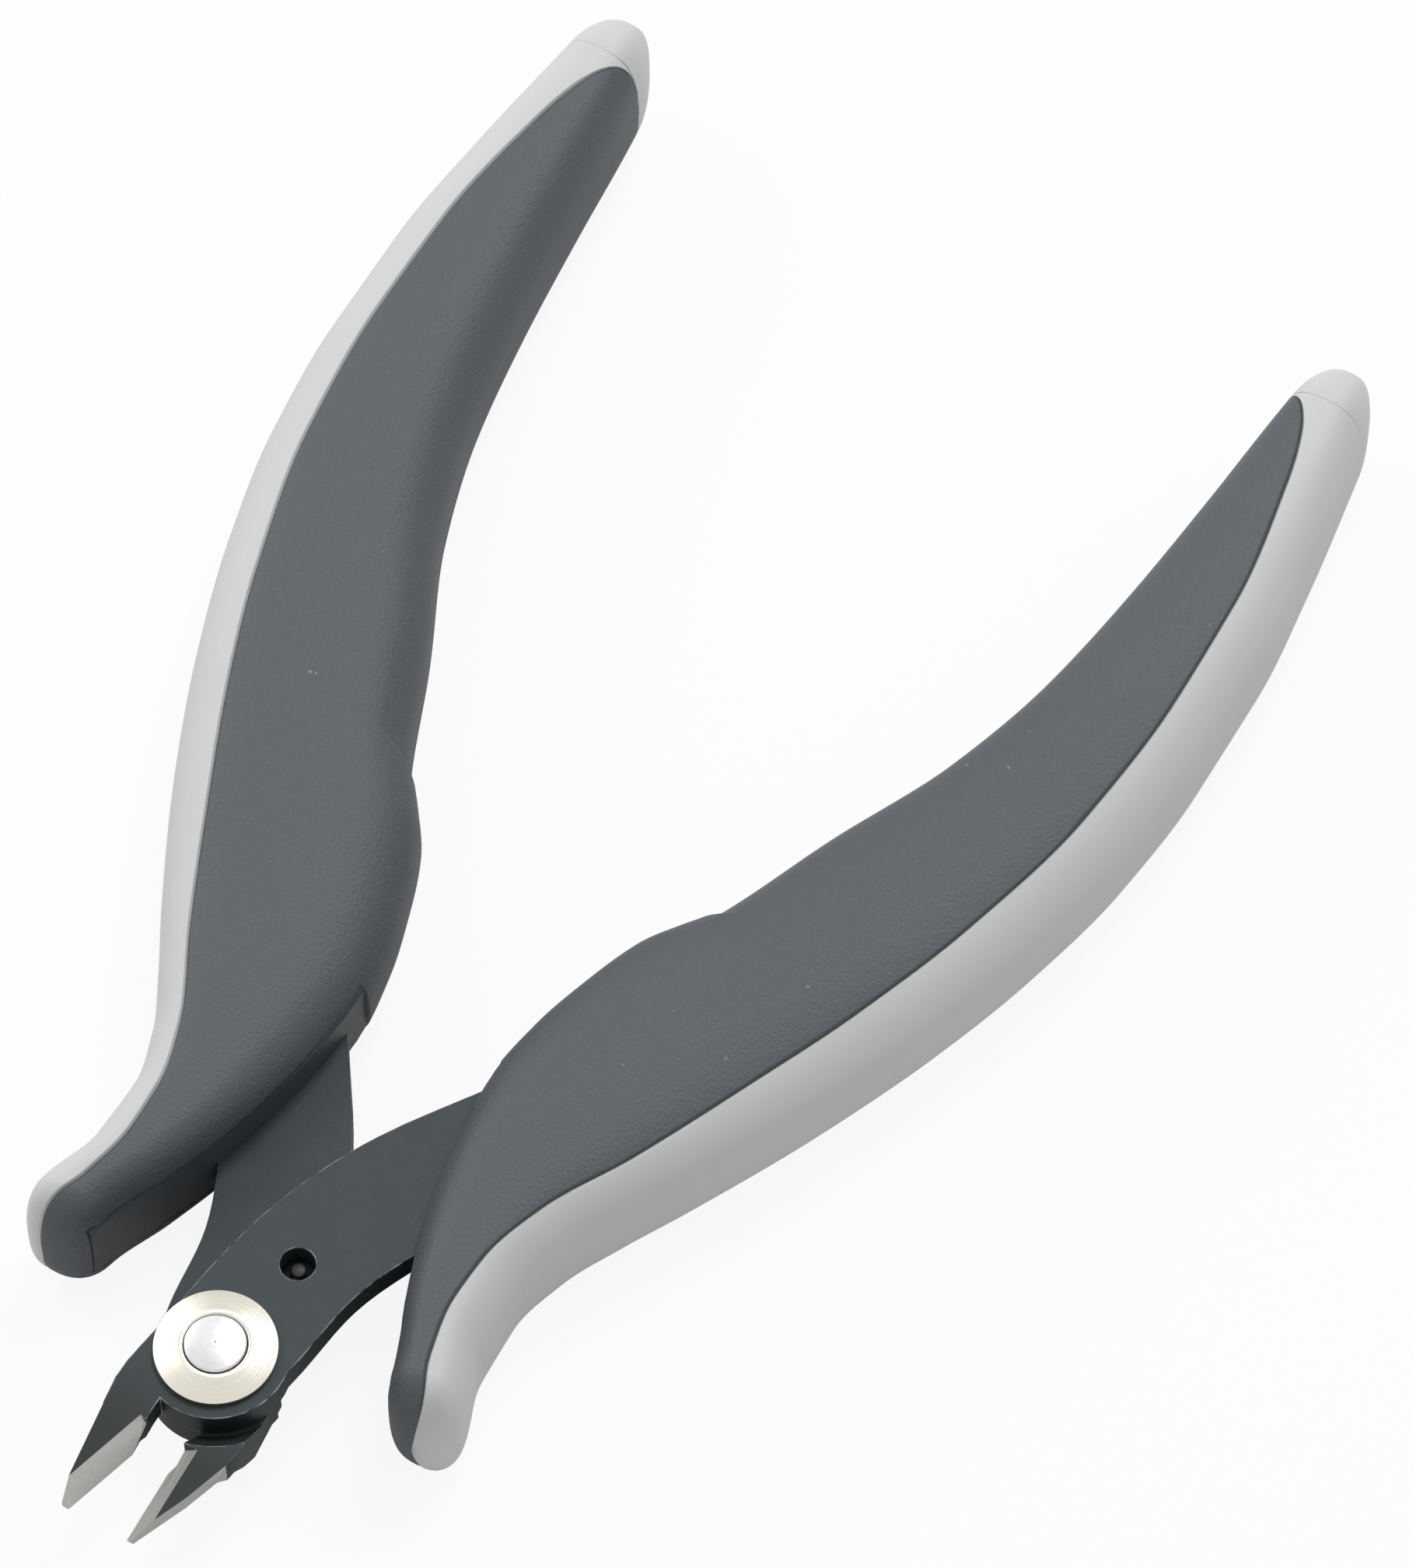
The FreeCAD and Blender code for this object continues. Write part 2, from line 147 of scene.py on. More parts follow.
class CutterGripSettings(bpy.types.PropertyGroup):
    half_thickness: FloatProperty(name="Half thickness", default=6.49 * MM, unit="LENGTH",
                                  description="Half height of the rounded grip section")
    squareness: FloatProperty(name="Squareness", default=2.9,
                              description="Exponent of the rounded-box section")
    seam_depth: FloatProperty(name="Seam depth", default=0.3 * MM, unit="LENGTH",
                              description="Depth of the line between skin and spine")
    shoulder: FloatProperty(name="Shoulder", default=0.5 * MM, unit="LENGTH",
                            description="Step above the grip's inner lobe")
    skin: StringProperty(name="Skin colour", default="#4D5257",
                         description="sRGB colour of the dark skin")
    spine: StringProperty(name="Spine colour", default="#CDCFCE",
                          description="sRGB colour of the light spine")
    core: StringProperty(name="Core colour", default="#474C50",
                         description="sRGB colour of the hard core")


class CutterSteelSettings(bpy.types.PropertyGroup):
    edge_round: FloatProperty(name="Edge rounding", default=0.16 * MM, unit="LENGTH",
                              description="Rounding of the stamped edges")
    oxide: StringProperty(name="Oxide colour", default="#2D3538",
                          description="sRGB colour of the black oxide")
    ground: StringProperty(name="Ground colour", default="#BDBCB8",
                           description="sRGB colour of freshly ground steel")
    nickel: StringProperty(name="Nickel colour", default="#E4E0D4",
                           description="sRGB colour of the turned collar")


class CutterStageSettings(bpy.types.PropertyGroup):
    lens: FloatProperty(name="Lens", default=208.63,
                        description="Focal length in millimetres on a 36 mm sensor")
    eye: FloatVectorProperty(name="Camera", default=(0.18088, -0.23144, 0.61025), subtype="XYZ",
                             description="Camera's place from the pivot, in metres")
    key: FloatProperty(name="Key light", default=1.0, description="Strength of the key light")
    fill: FloatProperty(name="Fill", default=0.46, description="Strength of the even room light")


# ------------------------------------------------------------------ shapes

def follow(points, at):
    """Smooth curve through (position, value) points, for a whole array of positions.

    Cubic pieces whose slope at each point is the harmonic mean of the two chords' slopes, or
    zero where they have opposite signs.
    """
    xs, ys = np.array(points, float).T
    chord = np.diff(ys) / np.diff(xs)
    slope = np.zeros(len(xs))
    slope[0], slope[-1] = chord[0], chord[-1]
    product = chord[:-1] * chord[1:]
    total = np.where(np.abs(chord[:-1] + chord[1:]) < 1e-12, 1.0, chord[:-1] + chord[1:])
    slope[1:-1] = np.where(product > 0, 2 * product / total, 0.0)
    i = np.clip(np.searchsorted(xs, at) - 1, 0, len(chord) - 1)
    span = xs[i + 1] - xs[i]
    t = (at - xs[i]) / span
    value = ys[i] * (2 * t**3 - 3 * t**2 + 1) + ys[i + 1] * (3 * t**2 - 2 * t**3)
    return value + span * (slope[i] * (t**3 - 2 * t**2 + t) + slope[i + 1] * (t**3 - t**2))


def smooth_step(t):
    """0 below 0, 1 above 1, and 3t^2 - 2t^3 between."""
    t = np.clip(t, 0.0, 1.0)
    return t * t * (3 - 2 * t)


def surface(name, grid, flip=False):
    """Closed mesh from a grid of points: columns wrap round, both end rows close on a point.

    grid is (rows, columns, 3) in millimetres from the pivot. Each cell is a quad, and each end
    is a fan round the mean of its row.
    """
    rows, cols, _ = grid.shape
    ends = np.stack([grid[0].mean(0), grid[-1].mean(0)])
    verts = np.concatenate([grid.reshape(-1, 3), ends]) * MM + np.array(PIVOT)
    r, c = np.meshgrid(np.arange(rows - 1), np.arange(cols), indexing="ij")
    right = (c + 1) % cols
    quads = np.stack([r * cols + c, r * cols + right, (r + 1) * cols + right, (r + 1) * cols + c], -1)
    k = np.arange(cols)
    low = np.stack([(k + 1) % cols, k, np.full(cols, rows * cols)], -1)
    high = np.stack([k, (k + 1) % cols, np.full(cols, rows * cols + 1)], -1)
    high[:, :2] += (rows - 1) * cols
    faces = quads.reshape(-1, 4).tolist() + low.tolist() + high.tolist()
    if flip:
        faces = [f[::-1] for f in faces]
    mesh = bpy.data.meshes.new(name)
    mesh.from_pydata(verts.tolist(), [], faces)
    return finish_mesh(name, mesh)


def finish_mesh(name, mesh):
    """Merges coincident points, shades smooth, turns the faces outwards and makes the object."""
    bm = bmesh.new()
    bm.from_mesh(mesh)
    bmesh.ops.remove_doubles(bm, verts=bm.verts, dist=1e-6)
    bmesh.ops.recalc_face_normals(bm, faces=bm.faces)
    if bm.calc_volume(signed=True) < 0:
        bmesh.ops.reverse_faces(bm, faces=bm.faces)
    bm.to_mesh(mesh)
    bm.free()
    mesh.shade_smooth()
    obj = bpy.data.objects.new(name, mesh)
    bpy.context.scene.collection.objects.link(obj)
    return obj


def grip_frame(settings, y):
    """Middle, half width and half height of the grip's section at each height, millimetres.

    The section shrinks to a point at both ends by the law of a quarter circle.
    """
    inner = follow(GRIP_INNER, y)
    outer = follow(GRIP_OUTER, y)
    horn_scale = np.sqrt(np.clip(1 - (1 - np.minimum(1, (y - GRIP_LOW) / HORN_ROUND)) ** 2, 0, 1))
    tip_scale = np.sqrt(np.clip(1 - (1 - np.minimum(1, (GRIP_HIGH - y) / TIP_ROUND)) ** 2, 0, 1))
    scale = np.maximum(horn_scale * tip_scale, 0.02)
    return (inner + outer) / 2, (outer - inner) / 2 * scale, settings.half_thickness / MM * scale


def grip_heights(low, high, marks):
    """Heights of the section rows: even, and closer at the ends and at the marked heights."""
    even = np.linspace(low, high, 190)
    turn = 1 - np.cos(np.linspace(0, math.pi / 2, 16))
    rows = [even, low + HORN_ROUND * turn, high - TIP_ROUND * turn]
    rows += [m + np.linspace(-0.5, 0.5, 11) for m in marks]
    rows = np.unique(np.round(np.concatenate(rows), 4))
    rows = rows[(rows >= low) & (rows <= high)]
    return rows[np.concatenate([[True], np.diff(rows) > 0.03])]


def grip_piece(name, settings, side, part):
    """One plastic of a grip: the part of the rounded box on one side of the seam line.

    At each height the section is |x/a|^n + |z/b|^n = 1, a softly domed box. The skin
    takes the arc from the seam round the inner side, the spine the arc round the outer side,
    and a straight wall inside the grip closes each. Near the seam both dip by a bell curve.
    On the skin, a shoulder steps in above the lobe, and the mouth is let in behind the core.
    """
    skin = part == "skin"
    n = settings.squareness
    if skin:
        marks = (MOUTH_LOW, MOUTH_TOP, SHOULDER_Y + 0.2, SEAM_FADE)
    else:
        marks = (SKIN_HIGH - 0.35, SKIN_HIGH + 0.1)
    y = grip_heights(GRIP_LOW, SKIN_HIGH if skin else GRIP_HIGH, marks)[:, None]
    mid, a, b = grip_frame(settings, y)
    seam = np.clip((follow(SPINE_LINE, y) - mid) / a, -SEAM_LIMIT, SEAM_LIMIT)
    seam = np.where(y > SEAM_END, -SEAM_LIMIT, seam)
    seam_z = b * (1 - np.abs(seam) ** n) ** (1 / n)
    start = np.arctan2(seam_z, a * seam)
    sweep = (math.pi - start) if skin else start
    near = np.array([0, 0.003, 0.006, 0.010, 0.015, 0.022, 0.032, 0.045, 0.065])
    run = np.concatenate([near, np.linspace(0.09, 1, 44)])
    run = np.concatenate([run, 2 - run[-2::-1]])[None, :]
    phi = start + sweep * run if skin else start - sweep * run
    cos, sin = np.cos(phi), np.sin(phi)
    radius = (np.abs(cos / a) ** n + np.abs(sin / b) ** n) ** (-1 / n)
    x, z = radius * cos, radius * sin
    normal_x = np.sign(cos) * np.abs(x / a) ** (n - 1) / a
    normal_z = np.sign(sin) * np.abs(z / b) ** (n - 1) / b
    size = np.hypot(normal_x, normal_z)
    normal_x, normal_z = normal_x / size, normal_z / size
    step = np.hypot(np.diff(x, axis=1), np.diff(z, axis=1))
    length = np.concatenate([np.zeros((len(y), 1)), np.cumsum(step, axis=1)], axis=1)
    away = np.minimum(length, length[:, -1:] - length)
    seam_width = 0.17 if skin else 0.1
    fade = np.clip(a * 1.5, 0, 1) * (1 - smooth_step((y - SEAM_FADE) / 0.4))
    dip = settings.seam_depth / MM * np.exp(-(away / seam_width) ** 2) * fade
    if skin:
        inner_gap = np.clip(x + a, 0, None)
        crease = SHOULDER_Y + 0.26 * inner_gap
        above = smooth_step((y - crease) / 0.6 + 0.5) * np.exp(-np.clip(y - crease, 0, None) / 8)
        dip = dip + settings.shoulder / MM * above * (1 - smooth_step(inner_gap / 3.6))
    x = x - dip * normal_x
    z = z - dip * normal_z
    if skin:
        across = smooth_step((MOUTH_HALF + MOUTH_EDGE / 2 - np.abs(z)) / MOUTH_EDGE)
        above_low = smooth_step((y - MOUTH_LOW) / MOUTH_EDGE + 0.5)
        below_top = smooth_step((MOUTH_TOP - y) / MOUTH_EDGE + 0.5)
        let_in = across * above_low * below_top * np.clip(MOUTH_IN - a - x, 0, None)
        x = np.where(x < -0.3 * a, x + let_in, x)
    wall = np.linspace(0, 1, 7)[None, 1:-1]
    wall_x = x[:, -1:] * (1 - wall) + x[:, :1] * wall
    wall_z = z[:, -1:] * (1 - wall) + z[:, :1] * wall
    x = np.concatenate([x, wall_x], axis=1)
    z = np.concatenate([z, wall_z], axis=1)
    grid = np.stack([side * (mid + x), np.broadcast_to(y, x.shape), z], -1)
    piece = surface(name, grid)
    exact_normals(piece.data, settings, side)
    return piece


def exact_normals(mesh, settings, side):
    """Gives every point on the grip's outer surface the normal of that surface.

    With F = |(x - middle) / a|^n + |z / b|^n, the normal is the gradient of F where F is 1; its
    part along the grip is a central difference of F. Points off the surface keep their own.
    """
    n = settings.squareness
    count = len(mesh.vertices)
    points = np.empty(count * 3, np.float32)
    mesh.vertices.foreach_get("co", points)
    points = (points.reshape(-1, 3).astype(float) - np.array(PIVOT)) / MM
    x, y, z = side * points[:, 0], points[:, 1], points[:, 2]

    def level(height):
        mid, a, b = grip_frame(settings, height)
        return np.abs((x - mid) / a) ** n + np.abs(z / b) ** n

    mid, a, b = grip_frame(settings, y)
    u, w = (x - mid) / a, z / b
    slope = (level(y + 0.02) - level(y - 0.02)) / 0.04
    exact = np.stack([side * n * np.sign(u) * np.abs(u) ** (n - 1) / a, slope,
                      n * np.sign(w) * np.abs(w) ** (n - 1) / b], -1)
    exact /= np.linalg.norm(exact, axis=1, keepdims=True) + 1e-9
    own = np.empty(count * 3, np.float32)
    mesh.vertex_normals.foreach_get("vector", own)
    outside = (np.abs(level(y) - 1) < 0.01) & (y > NORMALS_LOW) & (y < NORMALS_HIGH)
    normals = np.where(outside[:, None], exact, own.reshape(-1, 3))
    mesh.normals_split_custom_set_from_vertices(normals.tolist())


def lathe(name, profile, count=160):
    """Ring turned about the pivot axis from a closed profile of (radius, height) points."""
    profile = np.array(profile, float)
    turn = np.linspace(0, 2 * math.pi, count, endpoint=False)[:, None]
    grid = np.stack([profile[:, 0] * np.cos(turn), profile[:, 0] * np.sin(turn),
                     np.broadcast_to(profile[:, 1], (count, len(profile)))], -1)
    rows, cols, _ = grid.shape
    verts = grid.reshape(-1, 3) * MM + np.array(PIVOT)
    r, c = np.meshgrid(np.arange(rows), np.arange(cols), indexing="ij")
    down, right = (r + 1) % rows, (c + 1) % cols
    quads = np.stack([r * cols + c, r * cols + right, down * cols + right, down * cols + c], -1)
    mesh = bpy.data.meshes.new(name)
    mesh.from_pydata(verts.tolist(), [], quads.reshape(-1, 4).tolist())
    return finish_mesh(name, mesh)


def rounded(points, radius, steps=5):
    """Closed profile with each corner turned into an arc: a quadratic curve between two points
    set back from the corner by the radius."""
    points = np.array(points, float)
    before, after = np.roll(points, 1, 0) - points, np.roll(points, -1, 0) - points
    t = np.linspace(0, 1, steps)[:, None]
    out = []
    for corner, back, ahead in zip(points, before, after):
        reach = min(radius, np.linalg.norm(back) / 2.1, np.linalg.norm(ahead) / 2.1)
        p0 = corner + back / np.linalg.norm(back) * reach
        p2 = corner + ahead / np.linalg.norm(ahead) * reach
        out.append((1 - t) ** 2 * p0 + 2 * t * (1 - t) * corner + t ** 2 * p2)
    return np.concatenate(out)


def cad_copy(name, node):
    """Copy of a CAD node's mesh with its loose triangles merged and its flat faces whole."""
    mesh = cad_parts[node].data.copy()
    mesh.name = name
    mesh.materials.clear()
    bm = bmesh.new()
    bm.from_mesh(mesh)
    bmesh.ops.remove_doubles(bm, verts=bm.verts, dist=2e-6)
    bmesh.ops.dissolve_limit(bm, angle_limit=math.radians(0.4), verts=bm.verts, edges=bm.edges)
    bm.to_mesh(mesh)
    bm.free()
    obj = bpy.data.objects.new(name, mesh)
    bpy.context.scene.collection.objects.link(obj)
    return obj


def swept_wire(name, path, radius, count=20):
    """Round wire along a path of points, with softly rounded ends.

    Each ring stands on two axes, square to the path's direction and to each other. The first
    ring's is the direction crossed with +Y; each later one's is the last with its part along the
    path taken out, so the wire doesn't twist.
    """
    path = np.array(path, float)
    direction = np.gradient(path, axis=0)
    direction /= np.linalg.norm(direction, axis=1, keepdims=True)
    side = np.zeros_like(path)
    side[0] = np.cross(direction[0], (0, 1, 0))
    for i in range(1, len(path)):
        side[i] = side[i - 1] - direction[i] * np.dot(side[i - 1], direction[i])
        side[i] /= np.linalg.norm(side[i])
    side[0] /= np.linalg.norm(side[0])
    up = np.cross(direction, side)
    turn = np.linspace(0, 2 * math.pi, count, endpoint=False)
    size = np.full(len(path), radius)
    size[[0, -1]] *= 0.82
    grid = path[:, None, :] + size[:, None, None] * (
        side[:, None, :] * np.cos(turn)[None, :, None] + up[:, None, :] * np.sin(turn)[None, :, None])
    return surface(name, grid)


# ------------------------------------------------------------------ finishes

def node(tree, kind, settings=None, links=None):
    """Adds a node, sets its properties and sockets, and links its sockets."""
    made = tree.nodes.new(kind)
    for key, value in (settings or {}).items():
        if isinstance(key, str) and hasattr(made, key):
            setattr(made, key, value)
        else:
            made.inputs[key].default_value = value
    for key, source in (links or {}).items():
        tree.links.new(source, made.inputs[key])
    return made


def material(name):
    """Empty material and its node tree."""
    made = bpy.data.materials.new(name)
    made.use_nodes = True
    made.node_tree.nodes.clear()
    return made, made.node_tree


def shade(colour, factor):
    """Linear colour times a factor, at most 1 in each channel, still opaque."""
    return (*(min(1.0, v * factor) for v in colour[:3]), 1.0)


def put_on(obj, *materials):
    """The materials, in order, as the object's only ones."""
    obj.data.materials.clear()
    for made in materials:
        obj.data.materials.append(made)


def moulded(name, colour, grain, grain_depth, rough, gloss, speck, speck_level, mottling):
    """Moulded elastomer: even colour, fine spark-eroded grain, a few specks of dust.

    grain is the width of one grain in millimetres, drawn about twice life size to show.
    """
    made, tree = material(name)
    at = node(tree, "ShaderNodeTexCoord").outputs["Object"]
    cloud = node(tree, "ShaderNodeTexNoise", {"Scale": 1 / (9 * MM), "Detail": 3.0}, {"Vector": at})
    fine = node(tree, "ShaderNodeTexNoise", {"Scale": 1 / (grain * MM), "Detail": 3.0,
                                             "Roughness": 0.6}, {"Vector": at})
    dust = node(tree, "ShaderNodeTexNoise", {"Scale": 1 / (0.75 * MM), "Detail": 1.0},
                {"Vector": at})
    spots = node(tree, "ShaderNodeMapRange", {"From Min": speck_level, "From Max": speck_level + 0.03},
                 {"Value": dust.outputs["Fac"]})
    base = linear(colour)
    dark, pale = shade(base, 1 - mottling), shade(base, 1 + mottling)
    mixed = node(tree, "ShaderNodeMix", {"data_type": "RGBA", 6: dark, 7: pale},
                 {0: cloud.outputs["Fac"]})
    pores = node(tree, "ShaderNodeMapRange", {"To Min": 1 - 2 * mottling, "To Max": 1 + 2 * mottling},
                 {"Value": fine.outputs["Fac"]})
    grained = node(tree, "ShaderNodeVectorMath", {"operation": "SCALE"},
                   {0: mixed.outputs[2], "Scale": pores.outputs["Result"]})
    spotted = node(tree, "ShaderNodeMix", {"data_type": "RGBA", 7: linear(speck)},
                   {0: spots.outputs["Result"], 6: grained.outputs[0]})
    bump = node(tree, "ShaderNodeBump", {"Strength": 1.0, "Distance": grain_depth * MM},
                {"Height": fine.outputs["Fac"]})
    shader = node(tree, "ShaderNodeBsdfPrincipled", {"Roughness": rough, "Specular IOR Level": gloss},
                  {"Base Color": spotted.outputs[2], "Normal": bump.outputs["Normal"]})
    node(tree, "ShaderNodeOutputMaterial", {}, {"Surface": shader.outputs[0]})
    return made


def oxide_steel(name, colour, bright=None):
    """Black oxide on stamped steel: blue-green dark satin, finely mottled.

    It is darker on the jaws, from 2 to 9 mm below the pivot: painted shade, standing in for the
    darker reflections on the jaws. With a bright colour it is the same oxide worn through in
    short runs, as on the blank's edges.
    """
    made, tree = material(name)
    at = node(tree, "ShaderNodeTexCoord").outputs["Object"]
    cloud = node(tree, "ShaderNodeTexNoise", {"Scale": 1 / (2.2 * MM), "Detail": 5.0}, {"Vector": at})
    fine = node(tree, "ShaderNodeTexNoise", {"Scale": 1 / (0.16 * MM), "Detail": 2.0}, {"Vector": at})
    place = node(tree, "ShaderNodeSeparateXYZ", {}, {"Vector": at})
    # Painted shade: a mask rising from 2 to 9 mm below the pivot darkens the jaws in the colour, in
    # place of their darker reflections
    jaw_shade_mask = node(tree, "ShaderNodeMapRange", {"From Min": PIVOT.y - 2 * MM, "From Max": PIVOT.y - 9 * MM,
                                            "To Max": 0.8}, {"Value": place.outputs["Y"]})
    base = linear(colour)
    dark, pale = shade(base, 0.8), shade(base, 1.2)
    mixed = node(tree, "ShaderNodeMix", {"data_type": "RGBA", 6: dark, 7: pale},
                 {0: cloud.outputs["Fac"]})
    # Painted shade on the jaws: the oxide colour is mixed towards near black by that mask
    painted_jaw_shade = node(tree, "ShaderNodeMix", {"data_type": "RGBA", 7: (0.004, 0.006, 0.006, 1.0)},
                {0: jaw_shade_mask.outputs["Result"], 6: mixed.outputs[2]})
    tone = painted_jaw_shade.outputs[2]
    if bright:
        runs = node(tree, "ShaderNodeTexNoise", {"Scale": 1 / (1.1 * MM), "Detail": 4.0}, {"Vector": at})
        worn = node(tree, "ShaderNodeMapRange", {"From Min": 0.36, "From Max": 0.6, "To Max": 0.85},
                    {"Value": runs.outputs["Fac"]})
        tone = node(tree, "ShaderNodeMix", {"data_type": "RGBA", 7: linear(bright)},
                    {0: worn.outputs["Result"], 6: tone}).outputs[2]
    rough = node(tree, "ShaderNodeMapRange", {"To Min": 0.42, "To Max": 0.58},
                 {"Value": fine.outputs["Fac"]})
    bump = node(tree, "ShaderNodeBump", {"Strength": 0.6, "Distance": 0.01 * MM},
                {"Height": fine.outputs["Fac"]})
    shader = node(tree, "ShaderNodeBsdfPrincipled", {"Metallic": 0.35},
                  {"Base Color": tone, "Roughness": rough.outputs["Result"],
                   "Normal": bump.outputs["Normal"]})
    node(tree, "ShaderNodeOutputMaterial", {}, {"Surface": shader.outputs[0]})
    return made


def ground_steel(name, colour, lean):
    """Surface-ground steel: bright, with parallel wheel lines across the edge.

    lean is the angle of the lines in degrees; they are 0.12 mm apart.
    """
    made, tree = material(name)
    at = node(tree, "ShaderNodeTexCoord").outputs["Object"]
    turned = node(tree, "ShaderNodeMapping", {"Rotation": (0, 0, math.radians(lean))}, {"Vector": at})
    thin = node(tree, "ShaderNodeMapping", {"Scale": (0.05, 1.0, 0.25)}, {"Vector": turned.outputs[0]})
    lines = node(tree, "ShaderNodeTexNoise", {"Scale": 1 / (0.12 * MM), "Detail": 4.0},
                 {"Vector": thin.outputs[0]})
    base = linear(colour)
    dark = shade(base, 0.72)
    mixed = node(tree, "ShaderNodeMix", {"data_type": "RGBA", 6: dark, 7: base},
                 {0: lines.outputs["Fac"]})
    bump = node(tree, "ShaderNodeBump", {"Strength": 0.8, "Distance": 0.012 * MM},
                {"Height": lines.outputs["Fac"]})
    shader = node(tree, "ShaderNodeBsdfPrincipled", {"Metallic": 1.0, "Roughness": 0.36},
                  {"Base Color": mixed.outputs[2], "Normal": bump.outputs["Normal"]})
    node(tree, "ShaderNodeOutputMaterial", {}, {"Surface": shader.outputs[0]})
    return made


def turned_metal(name, colour, pitch, depth, rough, drawn):
    """Lathe-turned nickel: fine rings round the pivot axis, pitch in millimetres."""
    made, tree = material(name)
    at = node(tree, "ShaderNodeTexCoord").outputs["Object"]
    centred = node(tree, "ShaderNodeVectorMath", {"operation": "SUBTRACT", 1: tuple(PIVOT)},
                   {0: at})
    flat = node(tree, "ShaderNodeVectorMath", {"operation": "MULTIPLY", 1: (1, 1, 0)},
                {0: centred.outputs[0]})
    radius = node(tree, "ShaderNodeVectorMath", {"operation": "LENGTH"}, {0: flat.outputs[0]})
    rings = node(tree, "ShaderNodeTexNoise", {"noise_dimensions": "1D", "Scale": 1 / (pitch * MM),
                                              "Detail": 3.0}, {"W": radius.outputs["Value"]})
    haze = node(tree, "ShaderNodeTexNoise", {"Scale": 1 / (1.5 * MM), "Detail": 3.0}, {"Vector": at})
    base = linear(colour)
    dark = shade(base, 0.82)
    mixed = node(tree, "ShaderNodeMix", {"data_type": "RGBA", 6: dark, 7: base},
                 {0: rings.outputs["Fac"]})
    scatter = node(tree, "ShaderNodeMapRange", {"To Min": rough - 0.06, "To Max": rough + 0.08},
                   {"Value": haze.outputs["Fac"]})
    bump = node(tree, "ShaderNodeBump", {"Strength": 0.7, "Distance": depth * MM},
                {"Height": rings.outputs["Fac"]})
    along = node(tree, "ShaderNodeVectorMath", {"operation": "CROSS_PRODUCT", 0: (0, 0, 1)},
                 {1: flat.outputs[0]})
    unit = node(tree, "ShaderNodeVectorMath", {"operation": "NORMALIZE"}, {0: along.outputs[0]})
    shader = node(tree, "ShaderNodeBsdfPrincipled", {"Metallic": 1.0, "Anisotropic": drawn},
                  {"Base Color": mixed.outputs[2], "Roughness": scatter.outputs["Result"],
                   "Normal": bump.outputs["Normal"], "Tangent": unit.outputs[0]})
    node(tree, "ShaderNodeOutputMaterial", {}, {"Surface": shader.outputs[0]})
    return made


# ------------------------------------------------------------------ operators

class BuildArms(bpy.types.Operator):
    """Both stamped arms with rounded blank edges, black oxide and ground jaws."""
    bl_idname = "cutter.build_arms"
    bl_label = "Build arms"

    def execute(self, context):
        steel = context.scene.cutter_steel
        oxide = oxide_steel("Black oxide steel", steel.oxide)
        worn = oxide_steel("Worn oxide edge", steel.oxide, "#A3A8A6")
        for name, cad, body, lean in (("Arm_Front", "front_arm", FRONT, 16),
                                      ("Arm_Rear", "rear_arm", REAR, -2)):
            arm = cad_copy(name, cad)
            put_on(arm, oxide, ground_steel("Ground steel " + name[4:], steel.ground, lean), worn)
            self.mark_ground(arm.data)
            round_edges = arm.modifiers.new("Stamped edges", "BEVEL")
            round_edges.width = steel.edge_round
            round_edges.segments = 3
            round_edges.limit_method = "WEIGHT"
            round_edges.use_clamp_overlap = True
            round_edges.material = 2
            arm.data.shade_smooth()
            arm.data.set_sharp_from_angle(angle=math.radians(28))
            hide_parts(cad)
            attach(arm, body)
        return {"FINISHED"}

    def mark_ground(self, mesh):
        """Ground faces get the second finish and keep sharp edges; the rest are rounded."""
        bm = bmesh.new()
        bm.from_mesh(mesh)
        weight = bm.edges.layers.float.new("bevel_weight_edge")
        for face in bm.faces:
            at = (face.calc_center_median() - PIVOT) / MM
            slope = abs(face.normal.z)
            bevel = 0.3 < slope < 0.9 and at.y < BEVEL_TOP and at.length > BEVEL_REACH
            side = slope < 0.3 and at.y < SIDE_TOP
            back = face.normal.z < -0.9 and at.y < FLUSH_TOP and at.z > FLUSH_Z
            face.material_index = 1 if bevel or side or back else 0
        for edge in bm.edges:
            ground = any(f.material_index == 1 for f in edge.link_faces)
            sharp = len(edge.link_faces) == 2 and edge.calc_face_angle(0) > math.radians(35)
            edge[weight] = 1.0 if sharp and not ground else 0.0
        bm.to_mesh(mesh)
        bm.free()


